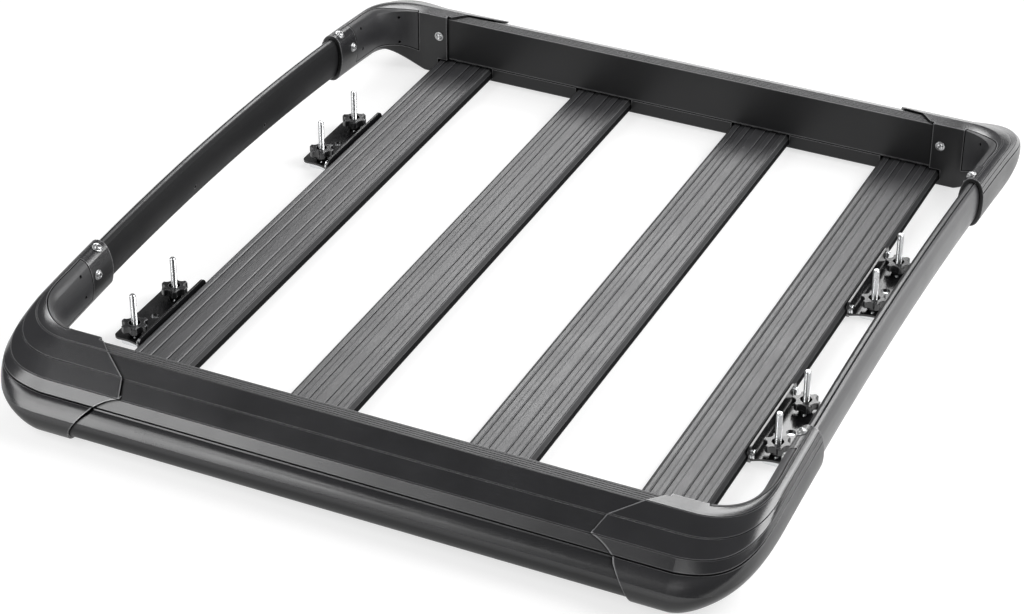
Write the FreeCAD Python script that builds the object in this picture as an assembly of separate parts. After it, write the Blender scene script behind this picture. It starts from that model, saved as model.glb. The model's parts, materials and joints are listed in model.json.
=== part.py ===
import FreeCAD, Part
import math
import os

from FreeCAD import Vector

# Roof basket: two end rails, two arched side rails, four moulded corners with inner covers,
# four deck slats and four crossbar clamps with star knobs.
# Millimetres. +X across the vehicle, +Y along it, +Z up, origin under the middle of the basket.

# Plan layout
END_RAIL_INNER_Y = 500.0        # inner face of each end rail from the middle
SIDE_RAIL_INNER_X = 486.5       # inner side of each side rail from the middle
INNER_SLAT_X = 127.0            # centre line of the two inner slats
OUTER_SLAT_X = 360.0            # centre line of the two outer slats
LEFT_CLAMP_Y = (-305.0, 218.0)  # clamp centres on the left outer slat
RIGHT_CLAMP_Y = (-196.0, 175.0)  # clamp centres on the right outer slat

# Clamp hardware
STUD_PLATE_THICK = 6.0
BRACKET_THICK = 3.0
BRACKET_DROP = 16.0             # slat top down to the bracket's plate
BRACKET_RISE = 4.0              # flange top above the slat top
BRACKET_BEND_R = 2.0            # inside the bend
FLANGE_LENGTH = 174.0
FLANGE_END_R = 11.0             # rounding of the flange's ends
FLANGE_BOLT_SPACING = 153.0
FLANGE_BOLT_DROP = 7.0          # bolt centres below the slat top
FLANGE_BOLT_R = 3.3
PLATE_REACH = 51.0              # plate from the flange's outer face outwards
PLATE_LENGTH = 134.0
PLATE_WAIST_LENGTH = 137.0      # plate length in the middle of its hollow ends
PLATE_EAR_R = 9.0
PLATE_HOLE_R = 6.2
STUD_SLOT_LENGTH = 24.0
STUD_SPACING = 102.7
STUD_OUT = 25.0                 # stud axis from the flange's outer face
STUD_R = 4.0
STUD_RISE = 47.0                # stud top above the slat top
STUD_HOLE_CLEARANCE = 0.3
STUD_TIP_CHAMFER = 1.0
STUD_PLATE_WIDTH = 34.0
STUD_PLATE_LENGTH = 132.0
STUD_PLATE_CORNER_R = 8.0

# Star knob
KNOB_R = 18.5
KNOB_LOBES = 6
KNOB_NOTCH_R = 7.5
KNOB_NOTCH_AT = 21.0            # notch centres from the knob's axis
KNOB_HEIGHT = 19.0
KNOB_STAR_THICK = 10.0
KNOB_HUB_R = 10.0
KNOB_HUB_ROUND = 5.0            # rounding round the hub's foot
KNOB_RECESS_R = 7.8             # well round the stud in the knob's top
KNOB_RECESS_DEPTH = 5.0
KNOB_EDGE_R = 1.0
KNOB_SEAT_GAP = 0.3
KNOB_BORE_CLEARANCE = 0.05

# Deck slat section
SLAT_WIDTH = 90.0
SLAT_THICK = 15.0
SLAT_CHAMFER = 5.0
SLAT_WALL = 2.2
SLAT_CHANNEL_OFFSETS = (11.8, 28.6)
SLAT_CHANNEL_WIDTH = 8.0
SLAT_CHANNEL_DEPTH = 1.6
SLAT_EASING = (1.8, 0.6)        # width and drop of the eased edges along the channels
SLAT_EDGE_LINE = (0.9, 0.7)     # width and depth of the line beside each chamfer
SLAT_CELLS = 3
SLAT_WEB = 2.5
SLAT_INSERT = 25.0              # slat end inside the end rail
WINDOW_SIDE_GAP = 1.0
WINDOW_TOP_GAP = 1.5
WINDOW_LINE = (2.0, 1.2)        # height and depth of the line along the rail above the windows

# End rail section, outwards from the inner face and up from the slat top
RAIL_TOP = 71.0
RAIL_BELOW = 19.0
RAIL_WALL = 2.5
RAIL_TOP_WIDTH = 20.0
RIDGE_OUT = 46.0
RIDGE_UP = 58.0
STEP_OUT = 72.0
STEP_UP = 45.0
LIP_OUT = 82.0
LIP_UP = 31.0
NOSE_R = 24.0
NOSE_OUT = 79.0                 # centre of the rounded nose
NOSE_START_DEG = 11.0           # where the nose begins, from straight up
NOSE_END_DEG = 180.0
NOSE_EDGES = 3
TOP_LINE_COUNT = 4
RAIL_END_GAP = 5.0              # rail end short of the corner's bend

# Side rail section and arch
SIDE_WIDTH = 25.0
SIDE_HEIGHT = 61.0
SIDE_SQUARENESS = 2.3           # 2 is an ellipse, more is squarer
SIDE_WALL = 2.5
SIDE_MID_UP = 43.5              # underside at mid-length above the slat top
ARCH_R = 4300.0
SIDE_END_GAP = 5.0              # rail end short of the corner's bend
SIDE_HOLE_Y = (-98.0, 98.0)     # accessory holes in the inner side
SIDE_HOLE_UP = 62.0             # their height above the slat top
SIDE_HOLE_R = 2.5

# Lines along the rails and corners
INNER_FOOT, INNER_HEAD, TOP_EDGE, RIDGE, STEP, LIP = range(6)
FINE_LINE = (1.2, 0.8)          # width and depth
RAIL_GROOVE = (2.2, 1.6)
SIDE_GROOVE = (2.4, 1.6)
SIDE_LINE_DEGREES = (-140.0, -35.0, 8.0, 30.0, 44.0, 61.0, 66.0, 104.0, 142.0, 180.0)  # round the oval
LINE_FULLNESS = (1.9, 2.0, 2.3, 2.7, 3.0, 3.4, 3.4, 2.9, 2.2, 1.7)  # plan of the bend: 2 is elliptic

# Moulded corner
FIT_CLEARANCE = 0.3
END_SLEEVE_WALL = 3.5
SIDE_SLEEVE_WALL = 5.5
CORNER_BEND_X = 58.5            # start of the bend to the side rail's inner side
CORNER_BEND_Y = 62.0            # end of the bend to the end rail's inner face
CORNER_RISE = 1.3               # how gently the section climbs to the side rail
CORNER_SECTIONS = 9
SIDE_SLEEVE = 116.0             # sleeve lengths back from the bend, along the side rail
TONGUE_INNER = 38.0             # and along the end rail's inner face, top edge, ridge, step, lip and foot
TONGUE_TOP = 62.0
TONGUE_RIDGE = 98.0
TONGUE_TIP = 108.0
TONGUE_LIP = 76.0
TONGUE_FOOT = 44.0
CUT_MARGIN = 10.0               # how far cutting shapes run past the moulding

# Corner cover
COVER_GAP = 0.3
COVER_GROOVE = (1.5, 1.5)       # width and depth of the groove round the cover
COVER_LEAD = 10.0               # cover's first edge past the start of the bend
COVER_TAIL = 63.0               # cover's last edge past the end of the bend
COVER_LIP = 11.0                # how far the cover laps over the top of the side rail
COVER_FOOT_END = 26.0           # wall left below the cover at its first edge
COVER_FOOT_SIDE = 2.0           # and along the side rail
COVER_SECTIONS = 5
COVER_HOLE_R = 2.2
COVER_HOLES_SIDE = ((43.0, 82.0), (45.5, 50.0))  # back from the bend and above the slat top
COVER_HOLES_BEND = (65.5, 24.5)  # heights above the slat top
COVER_HOLE_DEGREES = 50.0       # turn of the holes in the bend, from the way across

# Heights from the floor
SLAT_TOP_Z = STUD_PLATE_THICK + BRACKET_THICK + BRACKET_DROP
PLATE_TOP_Z = SLAT_TOP_Z - BRACKET_DROP
SLAT_BOTTOM_Z = SLAT_TOP_Z - SLAT_THICK
RAIL_TOP_Z = SLAT_TOP_Z + RAIL_TOP
RAIL_BOTTOM_Z = SLAT_TOP_Z - RAIL_BELOW
SIDE_MID_Z = SLAT_TOP_Z + SIDE_MID_UP
ARCH_CENTRE_Z = SIDE_MID_Z - ARCH_R

# Places in plan
CORNER_START_X = SIDE_RAIL_INNER_X - CORNER_BEND_X
CORNER_START_Y = END_RAIL_INNER_Y - CORNER_BEND_Y
END_RAIL_HALF = CORNER_START_X - RAIL_END_GAP
SIDE_RAIL_HALF = CORNER_START_Y - SIDE_END_GAP
FLANGE_FACE_X = OUTER_SLAT_X + SLAT_WIDTH / 2.0
STUD_X = FLANGE_FACE_X + BRACKET_THICK + STUD_OUT


def polygon_face(points):
    """Flat face inside a closed run of straight edges."""
    return Part.Face(Part.makePolygon(list(points) + [points[0]]))


def box_between(low, high):
    size = Vector(*high) - Vector(*low)
    return Part.makeBox(size.x, size.y, size.z, Vector(*low))


def round_bar(radius, base, height):
    return Part.makeCylinder(radius, height, base, Vector(0, 0, 1))


def slot_prism(length, width, base, height):
    """Round-ended slot along Y."""
    r = width / 2.0
    half = length / 2.0 - r
    body = box_between((base.x - r, base.y - half, base.z), (base.x + r, base.y + half, base.z + height))
    for sign in (-1, 1):
        body = body.fuse(round_bar(r, base + Vector(0, sign * half, 0), height))
    return body.removeSplitter()


def mirror_x(shape):
    return shape.mirror(Vector(0, 0, 0), Vector(1, 0, 0))


def mirror_y(shape):
    return shape.mirror(Vector(0, 0, 0), Vector(0, 1, 0))


# Section outlines are closed runs of Vector(out, up, fullness), clockwise from the inner foot: the start
# of an edge, the middle of that edge, the start of the next edge and so on. An edge is the parabola
# through its start, its middle and the next start, or a straight line where those are in line.
# The edges start at the inner foot, inner head, top edge, ridge, step and lip, then go round the nose.
# Fullness says how squarely a line of the section turns the corner in plan.
def on_circle(centre_out, centre_up, radius, degrees):
    """Point of a circle, measured from straight up towards the outside."""
    a = math.radians(degrees)
    return (centre_out + radius * math.sin(a), centre_up + radius * math.cos(a))


def on_oval(degrees):
    """Point of the side rail's oval, measured from its crown towards the outside."""
    a = math.radians(degrees)
    power = 2.0 / SIDE_SQUARENESS
    out = math.copysign(abs(math.sin(a)) ** power, math.sin(a)) * SIDE_WIDTH / 2.0
    up = math.copysign(abs(math.cos(a)) ** power, math.cos(a)) * SIDE_HEIGHT / 2.0
    return (SIDE_WIDTH / 2.0 + out, SIDE_MID_Z + SIDE_HEIGHT / 2.0 + up)


def halfway(a, b):
    return ((a[0] + b[0]) / 2.0, (a[1] + b[1]) / 2.0)


def full_outline(starts, middles):
    """Outline from the starts and middles of its edges, with the fullness of each line."""
    outline = []
    for k, (start, middle) in enumerate(zip(starts, middles)):
        here = LINE_FULLNESS[k]
        after = LINE_FULLNESS[(k + 1) % len(LINE_FULLNESS)]
        outline += [Vector(*start, here), Vector(*middle, (here + after) / 2.0)]
    return outline


def end_rail_outline():
    half_edge = (NOSE_END_DEG - NOSE_START_DEG) / (2 * NOSE_EDGES)
    nose = [on_circle(NOSE_OUT, RAIL_BOTTOM_Z + NOSE_R, NOSE_R, NOSE_START_DEG + half_edge * k)
            for k in range(2 * NOSE_EDGES + 1)]
    starts = [
        (0.0, RAIL_BOTTOM_Z),
        (0.0, RAIL_TOP_Z),
        (RAIL_TOP_WIDTH, RAIL_TOP_Z),
        (RIDGE_OUT, SLAT_TOP_Z + RIDGE_UP),
        (STEP_OUT, SLAT_TOP_Z + STEP_UP),
        (LIP_OUT, SLAT_TOP_Z + LIP_UP),
        *nose[0::2],
    ]
    middles = [halfway(a, b) for a, b in zip(starts[:LIP + 1], starts[1:])]
    middles += nose[1::2] + [halfway(starts[-1], starts[0])]
    return full_outline(starts, middles)


def side_rail_outline():
    closing = SIDE_LINE_DEGREES[1:] + (SIDE_LINE_DEGREES[0] + 360.0,)
    middles = [on_oval((a + b) / 2.0) for a, b in zip(SIDE_LINE_DEGREES, closing)]
    return full_outline([on_oval(a) for a in SIDE_LINE_DEGREES], middles)


def left_normal(along):
    return Vector(-along.y, along.x, 0).normalize()


def offset_outline(outline, gap):
    """Outline grown by a gap on every side, with its corners mitred."""
    count = len(outline)
    grown = []
    for i, here in enumerate(outline):
        before, after = outline[i - 1], outline[(i + 1) % count]
        arriving = leaving = after - before
        if i % 2 == 0:
            arriving = here * 3.0 - before * 4.0 + outline[i - 2]
            leaving = after * 4.0 - here * 3.0 - outline[(i + 2) % count]
        n1, n2 = left_normal(arriving), left_normal(leaving)
        grown.append(here + (n1 + n2) * (gap / (1.0 + n1.dot(n2))))
    return grown


def edge_point(start, middle, end, share):
    """Point of an edge, with share running from 0 at its start to 1 at its end."""
    return (start * ((1.0 - share) * (1.0 - 2.0 * share)) + middle * (4.0 * share * (1.0 - share))
            + end * (share * (2.0 * share - 1.0)))


def with_lines(outline, lines):
    """Outline with V-shaped lines: the widths and depths are given by the edge that starts there."""
    count = len(outline) // 2
    valleys = {k: offset_outline(outline, -depth)[2 * k] for k, (width, depth) in lines.items()}
    lined = []
    for k in range(count):
        following = (k + 1) % count
        start, middle, end = outline[2 * k], outline[2 * k + 1], outline[2 * following]
        length = math.hypot(end.x - start.x, end.y - start.y)
        low = lines[k][0] / 2.0 / length if k in lines else 0.0
        high = 1.0 - (lines[following][0] / 2.0 / length if following in lines else 0.0)
        first, last = edge_point(start, middle, end, low), edge_point(start, middle, end, high)
        if k in lines:
            lined += [valleys[k], (valleys[k] + first) * 0.5]
        lined += [first, edge_point(start, middle, end, (low + high) / 2.0)]
        if following in lines:
            lined += [last, (last + valleys[following]) * 0.5]
    return lined


def outline_wire(points):
    """Closed wire through the placed starts and middles of an outline's edges."""
    edges = []
    for i in range(0, len(points), 2):
        start, middle, end = points[i], points[i + 1], points[(i + 2) % len(points)]
        if (middle - start).cross(end - start).Length < 1e-6 * (end - start).Length:
            edges.append(Part.LineSegment(start, end).toShape())
        else:
            curve = Part.BezierCurve()
            curve.setPoles([start, middle * 2.0 - (start + end) * 0.5, end])
            edges.append(curve.toShape())
    return Part.Wire(edges)


def end_section(outline, x):
    """Section of the rear end rail at a place along it."""
    return [Vector(x, END_RAIL_INNER_Y + point.x, point.y) for point in outline]


def side_section(outline, y):
    """Section of the right side rail, turned with the arch at a place along it."""
    turn = math.asin(y / ARCH_R)
    points = []
    for point in outline:
        reach = point.y - ARCH_CENTRE_Z
        points.append(Vector(SIDE_RAIL_INNER_X + point.x, reach * math.sin(turn),
                             ARCH_CENTRE_Z + reach * math.cos(turn)))
    return points


def end_run(outline, x_from, x_to):
    face = Part.Face(outline_wire(end_section(outline, x_from)))
    return face.extrude(Vector(x_to - x_from, 0, 0))


def side_run(outline, y_from, y_to):
    """Length of side rail section swept along the arch."""
    face = Part.Face(outline_wire(side_section(outline, y_from)))
    degrees = math.degrees(math.asin(y_to / ARCH_R) - math.asin(y_from / ARCH_R))
    return face.revolve(Vector(0, 0, ARCH_CENTRE_Z), Vector(-1, 0, 0), degrees)


def round_corner(end, side, fullness, turn):
    """Point part-way round the corner, on a full quarter curve in plan from the end rail's line."""
    across, along = math.sin(turn), math.cos(turn)
    reach = (across ** fullness + along ** fullness) ** (-1.0 / fullness)
    x = end.x + (side.x - end.x) * across * reach
    y = side.y + (end.y - side.y) * along * reach
    slope = math.tan(math.asin(CORNER_START_Y / ARCH_R))
    level = side.z - slope * (y - side.y)
    climb = across ** CORNER_RISE
    return Vector(x, y, end.z * (1.0 - climb) + level * climb)


def corner_bend(end_outline, side_outline):
    """Loft of the section round the corner."""
    ends = end_section(end_outline, CORNER_START_X)
    sides = side_section(side_outline, CORNER_START_Y)
    wires = []
    for k in range(CORNER_SECTIONS):
        turn = math.pi / 2.0 * k / (CORNER_SECTIONS - 1)
        wires.append(outline_wire([round_corner(e, s, line.z, turn)
                                   for e, s, line in zip(ends, sides, end_outline)]))
    return Part.makeLoft(wires, True, False)


def corner_body(end_gap, side_gap, lines):
    """Sleeve on the end rail, bend and sleeve on the side rail, each grown by its gap."""
    end_outline = with_lines(offset_outline(end_rail_outline(), end_gap), lines)
    side_outline = with_lines(offset_outline(side_rail_outline(), side_gap), lines)
    body = corner_bend(end_outline, side_outline)
    body = body.fuse(end_run(end_outline, CORNER_START_X - TONGUE_TIP, CORNER_START_X))
    return body.fuse(side_run(side_outline, CORNER_START_Y - SIDE_SLEEVE, CORNER_START_Y))


def sleeve_trim():
    """What is cut off the end-rail sleeve: slanted above its step line, hollowed in an arc below it."""
    outline = offset_outline(end_rail_outline(), FIT_CLEARANCE + END_SLEEVE_WALL)
    foot, head, top, ridge, step, lip = outline[0:2 * LIP + 1:2]
    start = CORNER_START_X - TONGUE_TIP - CUT_MARGIN
    high = RAIL_TOP_Z + CUT_MARGIN
    low = RAIL_BOTTOM_Z - CUT_MARGIN

    def place(back, out, z):
        return Vector(CORNER_START_X - back, END_RAIL_INNER_Y + out, z)

    near = head.x - CUT_MARGIN
    far = step.x + CUT_MARGIN
    slant = [(TONGUE_INNER, near), (TONGUE_INNER, head.x), (TONGUE_TOP, top.x), (TONGUE_RIDGE, ridge.x),
             (TONGUE_TIP, step.x), (TONGUE_TIP, far)]
    corners = [place(back, out, step.y) for back, out in slant]
    corners += [Vector(start, corners[-1].y, step.y), Vector(start, corners[0].y, step.y)]
    above = polygon_face(corners).extrude(Vector(0, 0, high - step.y))

    tip = place(TONGUE_TIP, RAIL_WALL, step.y)
    heel = place(TONGUE_FOOT, RAIL_WALL, foot.y)
    corners = [heel, Vector(heel.x, heel.y, low), Vector(start, heel.y, low)]
    corners += [Vector(start, heel.y, tip.z), tip]
    edges = [Part.LineSegment(a, b).toShape() for a, b in zip(corners, corners[1:])]
    edges.append(Part.Arc(tip, place(TONGUE_LIP, RAIL_WALL, lip.y), heel).toShape())
    below = Part.Face(Part.Wire(edges)).extrude(Vector(0, NOSE_OUT + NOSE_R + CUT_MARGIN, 0))

    inner = box_between((start, END_RAIL_INNER_Y + near, low), place(TONGUE_INNER, RAIL_WALL, high))
    return [above, below, inner]


def cover_quad(turn, tail, grow):
    """Upright outline of the cover's block at a turn round the bend, or a way along the side rail past it."""
    end_outline, side_outline = end_rail_outline(), side_rail_outline()
    ends = end_section(end_outline, CORNER_START_X)
    sides = side_section(side_outline, CORNER_START_Y - tail)
    foot, head = [round_corner(ends[i], sides[i], end_outline[i].z, turn) for i in (0, 2)]
    left = COVER_FOOT_SIDE + (COVER_FOOT_END - COVER_FOOT_SIDE) * math.cos(turn) ** 2
    low = foot.z + left - grow
    high = head.z + SIDE_SLEEVE_WALL + CUT_MARGIN

    def place(out_end, out_side):
        end = Vector(CORNER_START_X, END_RAIL_INNER_Y + out_end, 0)
        side = Vector(SIDE_RAIL_INNER_X + out_side, CORNER_START_Y - tail, 0)
        return round_corner(end, side, end_outline[1].z, turn)

    near = place(-SIDE_SLEEVE_WALL - CUT_MARGIN, -SIDE_SLEEVE_WALL - CUT_MARGIN)
    far = place(grow, COVER_LIP + grow)
    corners = [(near, low), (near, high), (far, high), (far, low), (near, low)]
    return Part.makePolygon([Vector(spot.x, spot.y, z) for spot, z in corners])


def cover_block(grow):
    """Block through the corner's inner wall and top, with the cover's outline grown by a gap."""
    first = math.asin((COVER_LEAD - grow) / CORNER_BEND_X)
    step = (math.pi / 2.0 - first) / (COVER_SECTIONS - 1)
    wires = [cover_quad(first + step * k, 0.0, grow) for k in range(COVER_SECTIONS)]
    wires += [cover_quad(math.pi / 2.0, tail, grow) for tail in (COVER_TAIL / 2.0, COVER_TAIL + grow)]
    return Part.makeLoft(wires, True, False)


def slat_window(x):
    """Opening in the rear rail's inner wall for one slat end."""
    half = SLAT_WIDTH / 2.0 + WINDOW_SIDE_GAP
    depth = 2.0 * (END_SLEEVE_WALL + FIT_CLEARANCE)
    return box_between((x - half, END_RAIL_INNER_Y - depth, SLAT_BOTTOM_Z),
                       (x + half, END_RAIL_INNER_Y + depth, SLAT_TOP_Z + WINDOW_TOP_GAP))


def cover_holes():
    """Screw holes of the rear right cover: two along the side rail, two in the bend."""
    holes = []
    for back, up in COVER_HOLES_SIDE:
        start = Vector(SIDE_RAIL_INNER_X - SIDE_SLEEVE_WALL - CUT_MARGIN, CORNER_START_Y - back, SLAT_TOP_Z + up)
        depth = CUT_MARGIN + 2.0 * SIDE_SLEEVE_WALL
        holes.append(Part.makeCylinder(COVER_HOLE_R, depth, start, Vector(1, 0, 0)))
    turn = math.radians(COVER_HOLE_DEGREES)
    for up in COVER_HOLES_BEND:
        centre = Vector(CORNER_START_X, CORNER_START_Y, SLAT_TOP_Z + up)
        depth = max(CORNER_BEND_X, CORNER_BEND_Y) + CUT_MARGIN
        holes.append(Part.makeCylinder(COVER_HOLE_R, depth, centre, Vector(math.cos(turn), math.sin(turn), 0)))
    return holes


def make_corner_and_cover():
    """Rear right corner moulding, and the panel that closes it from the inside."""
    end_gap = FIT_CLEARANCE + END_SLEEVE_WALL
    side_gap = FIT_CLEARANCE + SIDE_SLEEVE_WALL
    lines = {TOP_EDGE: FINE_LINE, RIDGE: FINE_LINE, STEP: FINE_LINE, LIP: RAIL_GROOVE}
    shell = corner_body(end_gap, side_gap, lines).cut(corner_body(FIT_CLEARANCE, FIT_CLEARANCE, {}))
    width, depth = COVER_GROOVE
    groove = cover_block(width).cut(corner_body(end_gap - depth, side_gap - depth, {}))
    corner = shell.cut(sleeve_trim() + [slat_window(OUTER_SLAT_X), cover_block(COVER_GAP), groove])
    return corner, shell.common(cover_block(0.0)).cut(cover_holes())


def make_end_rail():
    """Rear end rail: a hollow extrusion with fine lines and slat windows."""
    outline = end_rail_outline()
    lines = {RIDGE: FINE_LINE, STEP: FINE_LINE, LIP: RAIL_GROOVE}
    rail = end_run(with_lines(outline, lines), -END_RAIL_HALF, END_RAIL_HALF)
    cuts = [end_run(offset_outline(outline, -RAIL_WALL), -END_RAIL_HALF, END_RAIL_HALF)]
    width, depth = FINE_LINE
    pitch = RAIL_TOP_WIDTH / (TOP_LINE_COUNT + 1)
    for k in range(TOP_LINE_COUNT):
        y = END_RAIL_INNER_Y + (k + 1) * pitch - width / 2.0
        cuts.append(box_between((-END_RAIL_HALF, y, RAIL_TOP_Z - depth),
                                (END_RAIL_HALF, y + width, RAIL_TOP_Z)))
    cuts += [slat_window(x) for x in (-OUTER_SLAT_X, -INNER_SLAT_X, INNER_SLAT_X, OUTER_SLAT_X)]
    height, depth = WINDOW_LINE
    low = SLAT_TOP_Z + WINDOW_TOP_GAP
    cuts.append(box_between((-END_RAIL_HALF, END_RAIL_INNER_Y, low),
                            (END_RAIL_HALF, END_RAIL_INNER_Y + depth, low + height)))
    return rail.cut(cuts)


def make_side_rail():
    """Right side rail: a hollow oval tube rolled to the arch, with a groove along its top."""
    outline = side_rail_outline()
    tube = side_run(with_lines(outline, {TOP_EDGE: SIDE_GROOVE}), -SIDE_RAIL_HALF, SIDE_RAIL_HALF)
    cuts = [side_run(offset_outline(outline, -SIDE_WALL), -SIDE_RAIL_HALF, SIDE_RAIL_HALF)]
    for y in SIDE_HOLE_Y:
        cuts.append(Part.makeCylinder(SIDE_HOLE_R, SIDE_WIDTH / 2.0,
                                      Vector(SIDE_RAIL_INNER_X, y, SLAT_TOP_Z + SIDE_HOLE_UP), Vector(1, 0, 0)))
    return tube.cut(cuts)


def slat_half_top():
    """Top of a slat from its middle outwards, as (out, down) points."""
    points = []
    half_channel = SLAT_CHANNEL_WIDTH / 2.0
    ease, drop = SLAT_EASING
    for offset in SLAT_CHANNEL_OFFSETS:
        near, far = offset - half_channel, offset + half_channel
        points += [(near - ease, 0.0), (near, drop), (near, SLAT_CHANNEL_DEPTH)]
        points += [(far, SLAT_CHANNEL_DEPTH), (far, drop), (far + ease, 0.0)]
    width, depth = SLAT_EDGE_LINE
    shoulder = SLAT_WIDTH / 2.0 - SLAT_CHAMFER
    points += [(shoulder - width, 0.0), (shoulder - width / 2.0, depth), (shoulder, 0.0)]
    return points + [(SLAT_WIDTH / 2.0, SLAT_CHAMFER)]


def make_slat(x):
    """Hollow deck slat with shoulders, top channels and inner webs."""
    half = SLAT_WIDTH / 2.0
    length = 2.0 * (END_RAIL_INNER_Y + SLAT_INSERT)
    y = -length / 2.0
    top = slat_half_top() + [(half, SLAT_THICK)]
    outline = [Vector(x - out, y, SLAT_TOP_Z - down) for out, down in reversed(top)]
    outline += [Vector(x + out, y, SLAT_TOP_Z - down) for out, down in top]
    slat = polygon_face(outline).extrude(Vector(0, length, 0))
    cell_low = SLAT_BOTTOM_Z + SLAT_WALL
    cell_high = SLAT_TOP_Z - SLAT_CHANNEL_DEPTH - SLAT_WALL
    reach = half - SLAT_CHAMFER - SLAT_WALL
    cell = (2.0 * reach - (SLAT_CELLS - 1) * SLAT_WEB) / SLAT_CELLS
    for k in range(SLAT_CELLS):
        low = x - reach + k * (cell + SLAT_WEB)
        slat = slat.cut(box_between((low, y, cell_low), (low + cell, -y, cell_high)))
    return slat


def plate_outline(z):
    """Right-hand bracket plate in plan: longest at the flange, hollow ends, rounded ears."""
    inner = FLANGE_FACE_X
    root = inner + BRACKET_THICK
    outer = root + PLATE_REACH
    half_root = FLANGE_LENGTH / 2.0 - FLANGE_END_R
    half = PLATE_LENGTH / 2.0
    ear = PLATE_EAR_R
    bow = ear * (1.0 - math.sqrt(0.5))
    waist = Vector((root + outer) / 2.0 - ear, PLATE_WAIST_LENGTH / 2.0, z)
    edges = []
    for sign in (-1, 1):
        side = Vector(outer, sign * (half - ear), z)
        tip = Vector(outer - ear, sign * half, z)
        end = Vector(root, sign * half_root, z)
        edges.append(Part.Arc(side, Vector(outer - bow, sign * (half - bow), z), tip).toShape())
        edges.append(Part.Arc(tip, Vector(waist.x, sign * waist.y, z), end).toShape())
        edges.append(Part.LineSegment(end, Vector(inner, sign * half_root, z)).toShape())
    for x, reach in ((outer, half - ear), (inner, half_root)):
        edges.append(Part.LineSegment(Vector(x, -reach, z), Vector(x, reach, z)).toShape())
    return Part.Face(Part.Wire(Part.__sortEdges__(edges)))


def bent_sheet(y_from, y_to):
    """Sheet bent to an angle: upright flange, rounded bend and plate."""
    base = PLATE_TOP_Z - BRACKET_THICK
    top = SLAT_TOP_Z + BRACKET_RISE
    face, root = FLANGE_FACE_X, FLANGE_FACE_X + BRACKET_THICK
    inside = BRACKET_BEND_R
    outside = BRACKET_BEND_R + BRACKET_THICK
    end = root + PLATE_REACH

    def place(x, z):
        return Vector(x, y_from, z)

    def bend(radius):
        """Middle of the bend's arc of a radius, both arcs having one centre."""
        reach = radius * math.sqrt(0.5)
        return place(root + inside - reach, PLATE_TOP_Z + inside - reach)

    edges = [
        Part.LineSegment(place(face, base + outside), place(face, top)),
        Part.LineSegment(place(face, top), place(root, top)),
        Part.LineSegment(place(root, top), place(root, PLATE_TOP_Z + inside)),
        Part.Arc(place(root, PLATE_TOP_Z + inside), bend(inside), place(root + inside, PLATE_TOP_Z)),
        Part.LineSegment(place(root + inside, PLATE_TOP_Z), place(end, PLATE_TOP_Z)),
        Part.LineSegment(place(end, PLATE_TOP_Z), place(end, base)),
        Part.LineSegment(place(end, base), place(face + outside, base)),
        Part.Arc(place(face + outside, base), bend(outside), place(face, base + outside)),
    ]
    return Part.Face(Part.Wire([edge.toShape() for edge in edges])).extrude(Vector(0, y_to - y_from, 0))


def make_bracket():
    """Right-hand angle bracket at Y = 0: flange on the slat's side, plate over the crossbar."""
    base = PLATE_TOP_Z - BRACKET_THICK
    top = SLAT_TOP_Z + BRACKET_RISE
    half = FLANGE_LENGTH / 2.0
    half_bend = half - FLANGE_END_R
    sheet = bent_sheet(-half_bend, half_bend).common(plate_outline(base).extrude(Vector(0, 0, top - base)))
    flange = box_between((FLANGE_FACE_X, -half, base), (FLANGE_FACE_X + BRACKET_THICK, half, top))
    flange = flange.makeFillet(FLANGE_END_R, [e for e in flange.Edges if e.BoundBox.XLength > 0.5 * BRACKET_THICK])
    middle = box_between((FLANGE_FACE_X, -half_bend, base), (FLANGE_FACE_X + BRACKET_THICK, half_bend, top))
    bracket = sheet.fuse(flange.cut(middle)).removeSplitter()
    cuts = [round_bar(PLATE_HOLE_R, Vector(STUD_X, 0, base), BRACKET_THICK)]
    for sign in (-1, 1):
        stud_at = Vector(STUD_X, sign * STUD_SPACING / 2.0, base)
        bolt_at = Vector(FLANGE_FACE_X, sign * FLANGE_BOLT_SPACING / 2.0, SLAT_TOP_Z - FLANGE_BOLT_DROP)
        cuts.append(slot_prism(STUD_SLOT_LENGTH, 2.0 * (STUD_R + STUD_HOLE_CLEARANCE), stud_at, BRACKET_THICK))
        cuts.append(Part.makeCylinder(FLANGE_BOLT_R, BRACKET_THICK, bolt_at, Vector(1, 0, 0)))
    return bracket.cut(cuts)


def make_stud_plate():
    """Lower clamp bar with its two upright studs, at Y = 0 on the right."""
    half_x = STUD_PLATE_WIDTH / 2.0
    half_y = STUD_PLATE_LENGTH / 2.0
    bar = box_between((STUD_X - half_x, -half_y, 0.0), (STUD_X + half_x, half_y, STUD_PLATE_THICK))
    uprights = [e for e in bar.Edges if e.BoundBox.ZLength > 0.5 * STUD_PLATE_THICK]
    bar = bar.makeFillet(STUD_PLATE_CORNER_R, uprights)
    height = SLAT_TOP_Z + STUD_RISE - STUD_PLATE_THICK
    for sign in (-1, 1):
        foot = Vector(STUD_X, sign * STUD_SPACING / 2.0, STUD_PLATE_THICK)
        stud = round_bar(STUD_R, foot, height - STUD_TIP_CHAMFER)
        tip = Part.makeCone(STUD_R, STUD_R - STUD_TIP_CHAMFER, STUD_TIP_CHAMFER,
                            foot + Vector(0, 0, height - STUD_TIP_CHAMFER))
        bar = bar.fuse(stud).fuse(tip)
    return bar.removeSplitter()


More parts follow.
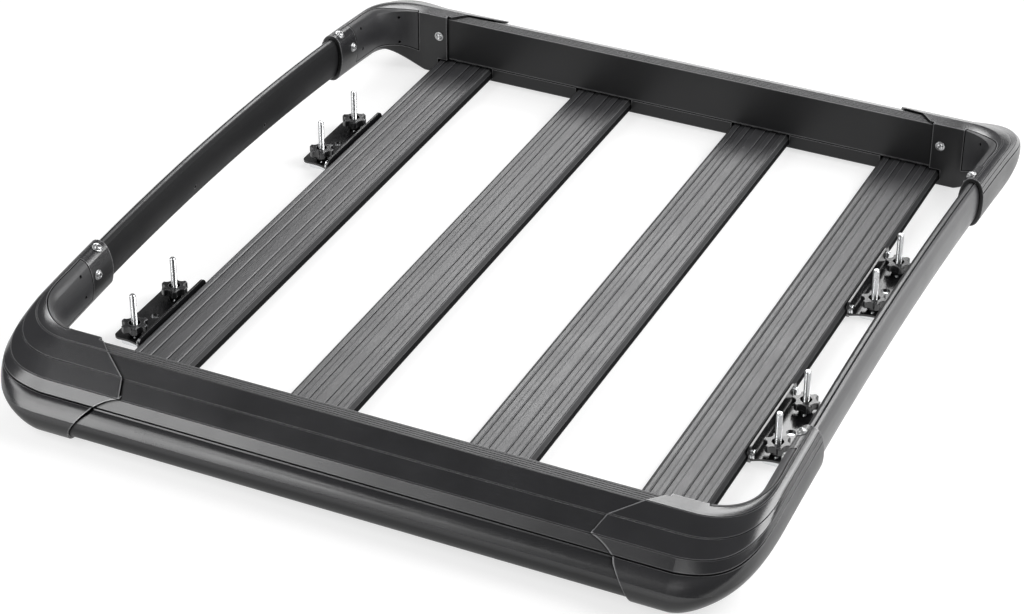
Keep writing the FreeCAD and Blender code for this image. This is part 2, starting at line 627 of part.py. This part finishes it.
def make_knob():
    """Star knob on the Z axis, seated just above the bracket plate, with a well round the stud."""
    base = PLATE_TOP_Z + KNOB_SEAT_GAP
    star_z = base + KNOB_HEIGHT - KNOB_STAR_THICK
    star = round_bar(KNOB_R, Vector(0, 0, star_z), KNOB_STAR_THICK)
    for k in range(KNOB_LOBES):
        a = 2.0 * math.pi * (k + 0.5) / KNOB_LOBES
        notch_at = Vector(KNOB_NOTCH_AT * math.cos(a), KNOB_NOTCH_AT * math.sin(a), star_z)
        star = star.cut(round_bar(KNOB_NOTCH_R, notch_at, KNOB_STAR_THICK))
    rims = [e for e in star.Edges if abs(e.BoundBox.ZLength) < 0.01]
    star = star.makeFillet(KNOB_EDGE_R, rims)
    hub = round_bar(KNOB_HUB_R, Vector(0, 0, base), KNOB_HEIGHT - KNOB_STAR_THICK)
    hub = hub.makeFillet(KNOB_HUB_ROUND, [e for e in hub.Edges if e.BoundBox.ZMax < base + 0.01])
    knob = star.fuse(hub).removeSplitter()
    well = round_bar(KNOB_RECESS_R, Vector(0, 0, base + KNOB_HEIGHT - KNOB_RECESS_DEPTH), KNOB_RECESS_DEPTH)
    return knob.cut([well, round_bar(STUD_R + KNOB_BORE_CLEARANCE, Vector(0, 0, base), KNOB_HEIGHT)])


def moved(shape, x, y):
    copy = shape.copy()
    copy.translate(Vector(x, y, 0))
    return copy


def build():
    nodes = {}
    rail = make_end_rail()
    nodes["rear_rail"] = rail
    nodes["front_rail"] = mirror_y(rail)
    side = make_side_rail()
    nodes["right_rail"] = side
    nodes["left_rail"] = mirror_x(side)
    for name, shape in zip(("corner", "corner_cover"), make_corner_and_cover()):
        nodes[name + "_rear_right"] = shape
        nodes[name + "_rear_left"] = mirror_x(shape)
        nodes[name + "_front_right"] = mirror_y(shape)
        nodes[name + "_front_left"] = mirror_y(mirror_x(shape))
    for k, x in enumerate((-OUTER_SLAT_X, -INNER_SLAT_X, INNER_SLAT_X, OUTER_SLAT_X)):
        nodes["slat_%d" % (k + 1)] = make_slat(x)
    bracket = make_bracket()
    stud_plate = make_stud_plate()
    knob = make_knob()
    for side_name, sign, places in (("left", -1, LEFT_CLAMP_Y), ("right", 1, RIGHT_CLAMP_Y)):
        for end_name, y in zip(("front", "rear"), places):
            clamp = "%s_%s" % (end_name, side_name)
            hand = mirror_x if sign < 0 else Part.Shape.copy
            nodes["bracket_" + clamp] = moved(hand(bracket), 0, y)
            nodes["stud_plate_" + clamp] = moved(hand(stud_plate), 0, y)
            for stud_name, step in (("a", -1), ("b", 1)):
                place = y + step * STUD_SPACING / 2.0
                nodes["knob_%s_%s" % (clamp, stud_name)] = moved(knob, sign * STUD_X, place)
    return nodes


def main():
    os.makedirs("parts", exist_ok=True)
    for name, shape in build().items():
        solids = shape.Solids
        ok = shape.isValid() and len(solids) == 1
        print("%-28s solids %d valid %s volume %.0f" % (name, len(solids), ok, shape.Volume))
        solids[0].exportStep("parts/%s.step" % name)


main()
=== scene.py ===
import json
import math
from collections import namedtuple

import bpy
from mathutils import Matrix, Vector


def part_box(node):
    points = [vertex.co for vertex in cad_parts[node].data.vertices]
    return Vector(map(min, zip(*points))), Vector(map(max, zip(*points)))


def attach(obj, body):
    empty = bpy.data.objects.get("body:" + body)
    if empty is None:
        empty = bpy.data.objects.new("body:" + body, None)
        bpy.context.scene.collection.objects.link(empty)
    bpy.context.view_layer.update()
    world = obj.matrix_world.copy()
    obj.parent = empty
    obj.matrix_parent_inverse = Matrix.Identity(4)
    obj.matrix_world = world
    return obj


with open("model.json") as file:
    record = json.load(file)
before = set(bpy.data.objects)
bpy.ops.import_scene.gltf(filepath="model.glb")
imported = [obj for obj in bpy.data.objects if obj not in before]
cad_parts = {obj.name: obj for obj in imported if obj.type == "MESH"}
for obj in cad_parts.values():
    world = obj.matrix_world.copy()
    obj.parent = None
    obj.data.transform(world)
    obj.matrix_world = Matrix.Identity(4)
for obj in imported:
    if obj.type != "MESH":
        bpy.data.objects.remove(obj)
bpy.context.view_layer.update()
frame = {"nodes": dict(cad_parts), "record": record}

# Roof basket: finishes, fasteners, threads, studio and camera. Metres, in the frame of the CAD model.

MM = 0.001
NODES = frame["nodes"]
WHITE = (1.0, 1.0, 1.0, 1.0)

# Camera fitted to the photograph's frame of 1024 by 614 pixels
CAMERA_EYE = Vector((1.33549, -2.99411, 2.05708))
CAMERA_AZIMUTH = math.radians(24.787)
CAMERA_ELEVATION = math.radians(32.540)
CAMERA_ROLL = math.radians(0.337)
CAMERA_LENS_MM = 99.15
CAMERA_SENSOR_MM = 36.0

# Studio
FLOOR_SIZE = 40.0
FLOOR_COLOUR = (0.42, 0.42, 0.42, 1.0)
FLOOR_ROUGHNESS = 0.9
FLOOR_LIFT = 0.68               # added for the rays that see the floor, so that the lit floor is white
WORLD_LEVEL = 0.18

# Softboxes: where each stands, the point it faces, its width and height, and the brightness of its face
Softbox = namedtuple("Softbox", "place target size level")
SOFTBOXES = {
    "back_light": Softbox((-0.73, 2.05, 1.75), (0.0, 0.0, 0.0), (1.3, 1.1), 5.9),
    "back_left_light": Softbox((-2.3, 2.3, 0.75), (0.0, 0.0, 0.0), (1.3, 1.0), 1.9),
    "right_back_light": Softbox((2.0, 1.9, 0.65), (0.5, 0.0, 0.1), (1.0, 1.2), 2.8),
    "right_light": Softbox((2.0, 0.7, 1.75), (0.5, -0.5, 0.05), (1.8, 1.9), 6.8),
    "front_light": Softbox((-0.78, -2.4, 1.15), (0.0, -0.6, 0.05), (0.6, 1.4), 1.0),
    "front_left_light": Softbox((-1.5, -2.3, 1.1), (-0.4, -0.6, 0.05), (0.9, 1.6), 4.6),
    "left_light": Softbox((-1.42, -1.38, 1.90), (-0.35, -0.6, 0.05), (1.1, 0.8), 3.8),
}

# Colour, gloss and grain, alike on all finishes
NOISE_RANGE = (0.3, 0.7)        # where most of a noise's values lie
MOTTLE_SCALE = 14.0
MOTTLE_DETAIL = 3.0
GRAIN_DETAIL = 2.0
GRAIN_SHARE = 0.6               # of the tint; mottle is the rest
GRAIN_DEPTH = 0.0004
GLOSS_SPREAD = 0.04
NO_STRETCH = (1.0, 1.0, 1.0)
ALONG_X = (0.08, 1.0, 1.0)      # grain drawn out along an extrusion
ALONG_Y = (1.0, 0.08, 1.0)
SOFT_EDGE = 0.0006              # radius to which edges look rounded
STEEL_EDGE = 0.0002
EDGE_SAMPLES = 4

# Painted highlights as lighter outward edges, and painted shade as darker hollows
EDGE_REACH = 0.0016
HOLLOW_REACH = 0.005
HOLLOW_SHADE_COLOUR = (0.0015, 0.0015, 0.0015)
HOLLOW_SPECULAR = 0.05
HOLLOW_OPENNESS = (0.55, 0.93)  # a hollow is darkest at the first share of free rays, gone at the second
OPENNESS_SAMPLES = 6

# Part of the normal along an axis at which a mask begins and at which it is full
SIDE_FACING = (0.4, 0.95)
LOW_FACING = (0.35, 0.05)
LEVEL_FACING = (0.96, 0.985)
INWARD_FACING = (-0.10, -0.25)  # times the place along that axis, so that inward is negative

# Duller walls of a finish, whose darker colour is painted shade: which walls, and their colour, roughness and
# specular level
DullAndShade = namedtuple("DullAndShade", "mask colour rough specular")

# Fasteners
FASTENER_SLOT = "zinc_steel"
LATHE_STEPS = 48
SMOOTH_ANGLE = math.radians(35.0)
CORNERS = {"rear_right": (1, 1), "rear_left": (-1, 1), "front_right": (1, -1), "front_left": (-1, -1)}
CLAMPS = ("front_left", "rear_left", "front_right", "rear_right")

# Sleeve screws on the side rails: distance along, height, and fall of the aim on its way outward
SleeveScrew = namedtuple("SleeveScrew", "along height fall")
SLEEVE_SCREWS = (SleeveScrew(0.341, 0.1205, 0.5), SleeveScrew(0.361, 0.092, 0.05))
SLEEVE_SCREW_X = 0.492          # the aim runs to here, at the sleeve's inner side
SLEEVE_AIM_LENGTH = 0.05        # and starts this far short of it
RAIL_SCREW_X = 0.403            # sleeve screws on the end rails
RAIL_SCREW_Z = 0.0655
SCREW_SOCKET_MM = 4.6           # across flats

# Flange bolts
BOLT_SPREAD = 0.0765            # either side of the bracket's middle
BOLT_Z = 0.018
BOLT_AIM_X = 0.47               # the aim starts here, outside the flange
BOLT_FLATS_MM = 10.0
BOLT_EASED_FLATS_MM = 9.6       # at the eased foot of the head
FLANGE_THICK = 0.003

# Stud threads
THREAD_PITCH = 0.00125
THREAD_CREST = 0.00432
THREAD_ROOT = 0.00403
THREAD_STEPS = 20
THREAD_PROFILE = (              # radius and share of the pitch
    (THREAD_ROOT, 0.0), (THREAD_ROOT, 0.15), (THREAD_CREST, 0.45),
    (THREAD_CREST, 0.6), (THREAD_ROOT, 0.9), (THREAD_ROOT, 1.0),
)
THREAD_FLOOR_GAP = 0.0004       # clear of the floor of the knob's well
KNOB_WELL_DEPTH = 0.005
STUD_TIP = 0.0014               # plain end of the stud


def add_node(tree, kind, **settings):
    """New shader node with its settings."""
    node = tree.nodes.new(kind)
    for name, value in settings.items():
        setattr(node, name, value)
    return node


def set_inputs(node, **values):
    """Plain values on a node's inputs, with _ for a space in an input's name."""
    for name, value in values.items():
        node.inputs[name.replace("_", " ")].default_value = value
    return node


def noise(tree, coords, scale, detail, stretch=NO_STRETCH):
    """Noise over the object's own coordinates, stretched along the axes."""
    mapping = set_inputs(add_node(tree, "ShaderNodeMapping"), Scale=stretch)
    tree.links.new(coords.outputs["Object"], mapping.inputs["Vector"])
    texture = set_inputs(add_node(tree, "ShaderNodeTexNoise"), Scale=scale, Detail=detail)
    tree.links.new(mapping.outputs["Vector"], texture.inputs["Vector"])
    return texture.outputs["Fac"]


def map_range(tree, value, source, low=0.0, high=1.0):
    """A value that runs over the source range, mapped from low to high."""
    node = add_node(tree, "ShaderNodeMapRange")
    set_inputs(node, From_Min=source[0], From_Max=source[1], To_Min=low, To_Max=high)
    tree.links.new(value, node.inputs["Value"])
    return node.outputs["Result"]


def blend(tree, fac, a, b):
    """Mix of two colours, each a plain colour or a socket."""
    node = add_node(tree, "ShaderNodeMix", data_type="RGBA")
    tree.links.new(fac, node.inputs["Factor"])
    colour_inputs = [socket for socket in node.inputs if socket.type == "RGBA"]
    for socket, colour in zip(colour_inputs, (a, b)):
        if isinstance(colour, tuple):
            socket.default_value = (*colour, 1.0)
        else:
            tree.links.new(colour, socket)
    return [socket for socket in node.outputs if socket.type == "RGBA"][0]


def math_node(tree, operation, *values):
    """Sum, product or the like of values, each a plain number or a socket."""
    node = add_node(tree, "ShaderNodeMath", operation=operation)
    for socket, value in zip(node.inputs, values):
        if isinstance(value, float):
            socket.default_value = value
        else:
            tree.links.new(value, socket)
    return node.outputs["Value"]


def axis_share(tree, vector, axis):
    """Part of a vector along an axis."""
    parts = add_node(tree, "ShaderNodeSeparateXYZ")
    tree.links.new(vector, parts.inputs["Vector"])
    return parts.outputs[axis]


def open_share(tree, reach, inside):
    """Share of rays that run free over a short reach, out in the air or, with inside, within the wall."""
    node = add_node(tree, "ShaderNodeAmbientOcclusion", inside=inside, only_local=inside)
    node.samples = OPENNESS_SAMPLES
    set_inputs(node, Distance=reach)
    return node.outputs["AO"]


# Masks of the walls that a finish paints darker as shade and makes duller.
def side_walls(tree, coords):
    """Mask of the walls that face along X."""
    facing = axis_share(tree, coords.outputs["Normal"], "X")
    return map_range(tree, math_node(tree, "ABSOLUTE", facing), SIDE_FACING)


def inward_walls(tree, coords):
    """Mask of the walls that face the middle of the basket."""
    facing = axis_share(tree, coords.outputs["Normal"], "X")
    outward = math_node(tree, "MULTIPLY", facing, axis_share(tree, coords.outputs["Object"], "X"))
    return map_range(tree, outward, INWARD_FACING)


def low_walls(tree, coords):
    """Mask of upright walls and undersides."""
    return map_range(tree, axis_share(tree, coords.outputs["Normal"], "Z"), LOW_FACING)


def level_and_low_walls(tree, coords):
    """Mask of the surfaces that face straight up, and of upright walls and undersides."""
    level = map_range(tree, axis_share(tree, coords.outputs["Normal"], "Z"), LEVEL_FACING)
    return math_node(tree, "MAXIMUM", level, low_walls(tree, coords))


def add_relief(tree, shader, grain, bump, edge):
    """Fine grain over softened edges."""
    bevel = set_inputs(add_node(tree, "ShaderNodeBevel", samples=EDGE_SAMPLES), Radius=edge)
    relief = set_inputs(add_node(tree, "ShaderNodeBump"), Strength=bump, Distance=GRAIN_DEPTH)
    tree.links.new(grain, relief.inputs["Height"])
    tree.links.new(bevel.outputs["Normal"], relief.inputs["Normal"])
    tree.links.new(relief.outputs["Normal"], shader.inputs["Normal"])


def finish_material(name, dark, light, rough, bump, grain, stretch=NO_STRETCH, metallic=0.0,
                    specular=0.5, edge=SOFT_EDGE, edge_highlight=None, dull_and_shade=None):
    """Coated, moulded or plated surface: mottled colour, uneven gloss, fine grain, softened edges.

    The edge colour, where given, is a painted highlight on outward edges; hollows then turn darker, painted
    shade.
    The dull walls, where given, are duller, and their darker colour is painted shade."""
    material = bpy.data.materials.new(name)
    material.use_nodes = True
    tree = material.node_tree
    shader = tree.nodes["Principled BSDF"]
    set_inputs(shader, Metallic=metallic, Specular_IOR_Level=specular)
    coords = add_node(tree, "ShaderNodeTexCoord")
    mottle = noise(tree, coords, MOTTLE_SCALE, MOTTLE_DETAIL)
    fine = noise(tree, coords, grain, GRAIN_DETAIL, stretch)
    fine_part = math_node(tree, "MULTIPLY", fine, GRAIN_SHARE)
    mottle_part = math_node(tree, "MULTIPLY", mottle, 1.0 - GRAIN_SHARE)
    tint = map_range(tree, math_node(tree, "ADD", fine_part, mottle_part), NOISE_RANGE)
    colour = blend(tree, tint, dark, light)
    gloss = map_range(tree, mottle, NOISE_RANGE, rough - GLOSS_SPREAD, rough + GLOSS_SPREAD)
    shine = None
    # Painted shade: the masked walls take a darker colour, and turn rougher and less shiny.
    if dull_and_shade:
        facing = dull_and_shade.mask(tree, coords)
        colour = blend(tree, facing, colour, dull_and_shade.colour)
        gloss = math_node(tree, "ADD", gloss, math_node(tree, "MULTIPLY", facing, dull_and_shade.rough - rough))
        shine = map_range(tree, facing, (0.0, 1.0), specular, dull_and_shade.specular)
    # Painted highlight: outward edges take a lighter colour. Painted shade: hollows turn dark and lose their
    # shine.
    if edge_highlight:
        colour = blend(tree, open_share(tree, EDGE_REACH, True), edge_highlight, colour)
        clear = map_range(tree, open_share(tree, HOLLOW_REACH, False), HOLLOW_OPENNESS)
        colour = blend(tree, clear, HOLLOW_SHADE_COLOUR, colour)
        open_shine = map_range(tree, clear, (0.0, 1.0), HOLLOW_SPECULAR, specular)
        shine = math_node(tree, "MINIMUM", shine, open_shine) if shine else open_shine
    if shine:
        tree.links.new(shine, shader.inputs["Specular IOR Level"])
    tree.links.new(colour, shader.inputs["Base Color"])
    tree.links.new(gloss, shader.inputs["Roughness"])
    add_relief(tree, shader, fine, bump, edge)
    return material


def make_finishes():
    """Finishes by name: one for each slot of the record, and one for the screws."""
    # The lighter edge colours are painted highlights, and the darker wall colours are painted shade.
    looks = {
        "end_rail_coat": dict(
            dark=(0.013, 0.013, 0.014), light=(0.024, 0.024, 0.027), rough=0.24, specular=0.8,
            bump=0.12, grain=900.0, stretch=ALONG_X, edge_highlight=(0.46, 0.46, 0.47),
            dull_and_shade=DullAndShade(level_and_low_walls, (0.016, 0.016, 0.017), rough=0.40, specular=0.34)),
        "side_rail_coat": dict(
            dark=(0.016, 0.016, 0.018), light=(0.027, 0.027, 0.030), rough=0.32, specular=0.9,
            bump=0.15, grain=900.0, stretch=ALONG_Y, edge_highlight=(0.29, 0.29, 0.30),
            dull_and_shade=DullAndShade(inward_walls, (0.011, 0.011, 0.012), rough=0.55, specular=0.22)),
        "slat_coat": dict(
            dark=(0.032, 0.032, 0.034), light=(0.061, 0.061, 0.065), rough=0.38, specular=0.9,
            bump=0.5, grain=800.0, edge_highlight=(0.40, 0.40, 0.41),
            dull_and_shade=DullAndShade(side_walls, (0.0055, 0.0055, 0.006), rough=0.85, specular=0.09)),
        "corner_plastic": dict(
            dark=(0.0145, 0.0145, 0.016), light=(0.025, 0.025, 0.028), rough=0.24, specular=0.9,
            bump=0.15, grain=1400.0, edge_highlight=(0.48, 0.48, 0.49),
            dull_and_shade=DullAndShade(low_walls, (0.014, 0.014, 0.015), rough=0.35, specular=0.5)),
        "cover_plastic": dict(
            dark=(0.020, 0.020, 0.022), light=(0.034, 0.034, 0.037), rough=0.45, specular=0.72,
            bump=0.3, grain=1400.0),
        "bracket_coat": dict(
            dark=(0.007, 0.007, 0.008), light=(0.016, 0.016, 0.017), rough=0.20, specular=0.9,
            bump=0.15, grain=500.0),
        "zinc_steel": dict(
            dark=(0.74, 0.75, 0.76), light=(0.90, 0.91, 0.92), rough=0.22, metallic=1.0,
            bump=0.15, grain=900.0, edge=STEEL_EDGE),
        "screw_steel": dict(
            dark=(0.50, 0.505, 0.51), light=(0.74, 0.745, 0.75), rough=0.30, metallic=1.0,
            bump=0.15, grain=900.0, edge=STEEL_EDGE),
        "knob_plastic": dict(
            dark=(0.011, 0.011, 0.012), light=(0.021, 0.021, 0.022), rough=0.24, specular=0.9,
            bump=0.15, grain=1200.0, edge_highlight=(0.21, 0.21, 0.22)),
    }
    return {name: finish_material(name, **look) for name, look in looks.items()}


def dress_nodes(finishes):
    """Give every CAD node the finish of its slot in the record."""
    for subpart in frame["record"]["subparts"]:
        materials = NODES[subpart["node"]].data.materials
        materials.clear()
        materials.append(finishes[subpart["material_slot"]])


def hexagon(across_flats):
    """Radius of a hexagon by angle."""
    sector = math.pi / 3.0
    return lambda angle: across_flats / 2.0 / math.cos((angle % sector) - sector / 2.0)


def turned_mesh(rings, places):
    """Turned shape from rings of (radius in mm or a radius by angle, height in mm), repeated at places."""
    verts, faces = [], []
    for place in places:
        base = len(verts)
        for radius, height in rings:
            for k in range(LATHE_STEPS):
                angle = 2.0 * math.pi * k / LATHE_STEPS
                r = (radius(angle) if callable(radius) else radius) * MM
                verts.append(place @ Vector((r * math.cos(angle), r * math.sin(angle), height * MM)))
        for i in range(len(rings) - 1):
            ring = base + i * LATHE_STEPS
            for k in range(LATHE_STEPS):
                a, b = ring + k, ring + (k + 1) % LATHE_STEPS
                faces.append((a, b, b + LATHE_STEPS, a + LATHE_STEPS))
        last_ring = base + (len(rings) - 1) * LATHE_STEPS
        first = [base + k for k in range(LATHE_STEPS)]
        last = [last_ring + k for k in range(LATHE_STEPS)]
        faces += [tuple(reversed(first)), tuple(last)]
    return verts, faces


def add_piece(name, verts, faces, material, slot):
    """Mesh piece on the basket's body, smooth but for its sharp edges."""
    mesh = bpy.data.meshes.new(name)
    mesh.from_pydata(verts, [], faces)
    mesh.update()
    mesh.shade_smooth()
    mesh.set_sharp_from_angle(angle=SMOOTH_ANGLE)
    mesh.materials.append(material)
    piece = bpy.data.objects.new(name, mesh)
    bpy.context.scene.collection.objects.link(piece)
    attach(piece, "basket")


def seat(node, start, aim):
    """Place on a node's surface, met from a start along an aim: a frame with Z along the surface's normal."""
    found, spot, normal, _ = NODES[node].ray_cast(Vector(start), Vector(aim).normalized())
    assert found, "no surface of %s there" % node
    return Matrix.Translation(spot) @ normal.to_track_quat("Z", "Y").to_matrix().to_4x4()


def make_screws(material):
    """Pan-head socket screws with washers on the sleeves, seen inside the basket."""
    socket = hexagon(SCREW_SOCKET_MM)
    washer = [(7.2, -1.2), (7.2, 0.7), (6.9, 1.0)]
    head = [(5.5, 1.05), (5.3, 1.2), (5.3, 2.0), (5.0, 3.0), (4.3, 3.7), (3.2, 4.1), (2.9, 4.15)]
    recess = [(socket, 3.9), (socket, 2.0), (0.3, 1.8)]
    places = []
    for name, (sx, sy) in CORNERS.items():
        corner = "corner_" + name
        for screw in SLEEVE_SCREWS:
            aim = Vector((sx, 0.0, -screw.fall))
            target = Vector((sx * SLEEVE_SCREW_X, sy * screw.along, screw.height))
            places.append(seat(corner, target - aim.normalized() * SLEEVE_AIM_LENGTH, aim))
        places.append(seat(corner, (sx * RAIL_SCREW_X, 0.0, RAIL_SCREW_Z), (0.0, sy, 0.0)))
    add_piece("sleeve_screws", *turned_mesh(washer + head + recess, places), material, FASTENER_SLOT)


def make_bolts(material):
    """Hexagon bolts with washers through the bracket flanges into the slats."""
    foot, flats = hexagon(BOLT_EASED_FLATS_MM), hexagon(BOLT_FLATS_MM)
    washer = [(6.2, -0.3), (6.2, 0.9), (5.9, 1.1)]
    head = [(foot, 1.15), (flats, 1.5), (flats, 4.4), (4.7, 5.0), (1.2, 5.05), (0.3, 5.0)]
    flange = Matrix.Translation((0.0, 0.0, FLANGE_THICK))
    places = []
    for clamp in CLAMPS:
        low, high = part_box("bracket_" + clamp)
        slat, sx = ("slat_1", -1) if clamp.endswith("left") else ("slat_4", 1)
        middle = (low[1] + high[1]) / 2.0
        for y in (middle - BOLT_SPREAD, middle + BOLT_SPREAD):
            places.append(seat(slat, (sx * BOLT_AIM_X, y, BOLT_Z), (-sx, 0.0, 0.0)) @ flange)
    add_piece("flange_bolts", *turned_mesh(washer + head, places), material, FASTENER_SLOT)


def thread_mesh(axis, low, high):
    """Helical thread round an upright axis."""
    turns = (high - low) / THREAD_PITCH - 1.0
    count = int(turns * THREAD_STEPS)
    verts, faces = [], []
    for k in range(count + 1):
        angle = 2.0 * math.pi * k / THREAD_STEPS
        climb = low + THREAD_PITCH * k / THREAD_STEPS
        for radius, share in THREAD_PROFILE:
            verts.append((axis[0] + radius * math.cos(angle), axis[1] + radius * math.sin(angle),
                          climb + share * THREAD_PITCH))
    rows = len(THREAD_PROFILE)
    for k in range(count):
        for i in range(rows - 1):
            a = k * rows + i
            faces.append((a, a + rows, a + rows + 1, a + 1))
    return verts, faces


def make_threads(material):
    """Threads on the studs, from the wells of the knobs to the studs' tips."""
    verts, faces = [], []
    for clamp in CLAMPS:
        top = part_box("stud_plate_" + clamp)[1][2]
        for stud in "ab":
            low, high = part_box("knob_%s_%s" % (clamp, stud))
            axis = ((low[0] + high[0]) / 2.0, (low[1] + high[1]) / 2.0)
            start = high[2] - KNOB_WELL_DEPTH + THREAD_FLOOR_GAP
            more_verts, more_faces = thread_mesh(axis, start, top - STUD_TIP)
            base = len(verts)
            verts += more_verts
            faces += [tuple(base + i for i in face) for face in more_faces]
    add_piece("stud_threads", verts, faces, material, FASTENER_SLOT)


def make_floor():
    """White floor: lit as grey, and lifted for the rays that see it."""
    half = FLOOR_SIZE / 2.0
    mesh = bpy.data.meshes.new("studio_floor")
    mesh.from_pydata([(-half, -half, 0.0), (half, -half, 0.0), (half, half, 0.0), (-half, half, 0.0)],
                     [], [(0, 1, 2, 3)])
    floor = bpy.data.objects.new("studio_floor", mesh)
    bpy.context.scene.collection.objects.link(floor)
    material = bpy.data.materials.new("studio_floor")
    material.use_nodes = True
    tree = material.node_tree
    shader = tree.nodes["Principled BSDF"]
    set_inputs(shader, Base_Color=FLOOR_COLOUR, Roughness=FLOOR_ROUGHNESS, Emission_Color=WHITE)
    rays = add_node(tree, "ShaderNodeLightPath")
    seen = rays.outputs["Is Camera Ray"]
    for name in ("Is Glossy Ray", "Is Transmission Ray"):
        seen = math_node(tree, "MAXIMUM", seen, rays.outputs[name])
    tree.links.new(math_node(tree, "MULTIPLY", seen, FLOOR_LIFT), shader.inputs["Emission Strength"])
    mesh.materials.append(material)


def make_world():
    """Even white light from all round."""
    world = bpy.data.worlds.new("studio")
    world.use_nodes = True
    set_inputs(world.node_tree.nodes["Background"], Color=WHITE, Strength=WORLD_LEVEL)
    bpy.context.scene.world = world


def add_softbox(name, box):
    """Rectangular lamp aimed at a point."""
    lamp = bpy.data.lights.new(name, "AREA")
    lamp.shape = "RECTANGLE"
    lamp.size, lamp.size_y = box.size
    lamp.energy = box.level * box.size[0] * box.size[1] * math.pi
    holder = bpy.data.objects.new(name, lamp)
    aim = Vector(box.target) - Vector(box.place)
    holder.rotation_euler = aim.to_track_quat("-Z", "Y").to_euler()
    holder.location = box.place
    bpy.context.scene.collection.objects.link(holder)


def make_camera():
    """Camera of the photograph."""
    az, el, roll = CAMERA_AZIMUTH, CAMERA_ELEVATION, CAMERA_ROLL
    back = Vector((math.sin(az) * math.cos(el), -math.cos(az) * math.cos(el), math.sin(el)))
    level_right = Vector((math.cos(az), math.sin(az), 0.0))
    level_up = back.cross(level_right)
    right = math.cos(roll) * level_right + math.sin(roll) * level_up
    up = math.cos(roll) * level_up - math.sin(roll) * level_right
    camera = bpy.data.cameras.new("camera")
    camera.lens = CAMERA_LENS_MM
    camera.sensor_width = CAMERA_SENSOR_MM
    holder = bpy.data.objects.new("camera", camera)
    holder.matrix_world = Matrix((right, up, back)).transposed().to_4x4()
    holder.location = CAMERA_EYE
    bpy.context.scene.collection.objects.link(holder)
    bpy.context.scene.camera = holder


finishes = make_finishes()
dress_nodes(finishes)
make_screws(finishes["screw_steel"])
make_bolts(finishes["zinc_steel"])
make_threads(finishes["zinc_steel"])
make_floor()
make_world()
for name, box in SOFTBOXES.items():
    add_softbox(name, box)
make_camera()
bpy.context.scene.view_settings.view_transform = "Standard"
